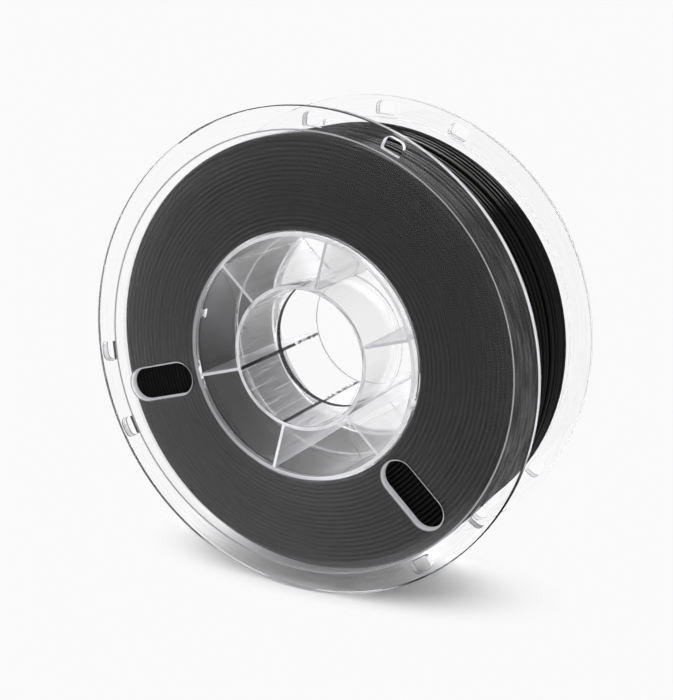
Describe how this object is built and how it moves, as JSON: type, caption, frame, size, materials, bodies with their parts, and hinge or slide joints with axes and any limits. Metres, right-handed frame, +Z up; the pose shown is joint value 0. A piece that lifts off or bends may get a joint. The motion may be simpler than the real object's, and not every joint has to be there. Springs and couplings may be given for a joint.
{
  "type": "filament spool",
  "caption": "Full 3-D printer filament spool: clear moulded flanged reel with ribbed hub, obround windows and rim holes, wound with black filament.",
  "frame": {"origin": "on the spool's axis at mid-width, which is the centre of the bounding box; the floor that it stands on is 0.1 m below", "axes": "+Y along the axis from the front flange to the rear flange, +Z up, +X to the right when looking at the front flange"},
  "size_m": [0.2, 0.0672, 0.2],
  "materials": {
    "clear_plastic": "clear, polished mould",
    "black_filament": "smooth black"
  },
  "bodies": {
    "root": {"front_half": "clear_plastic", "rear_half": "clear_plastic", "filament_core": "black_filament", "filament_outer_layer": "black_filament"}
  },
  "joints": []
}
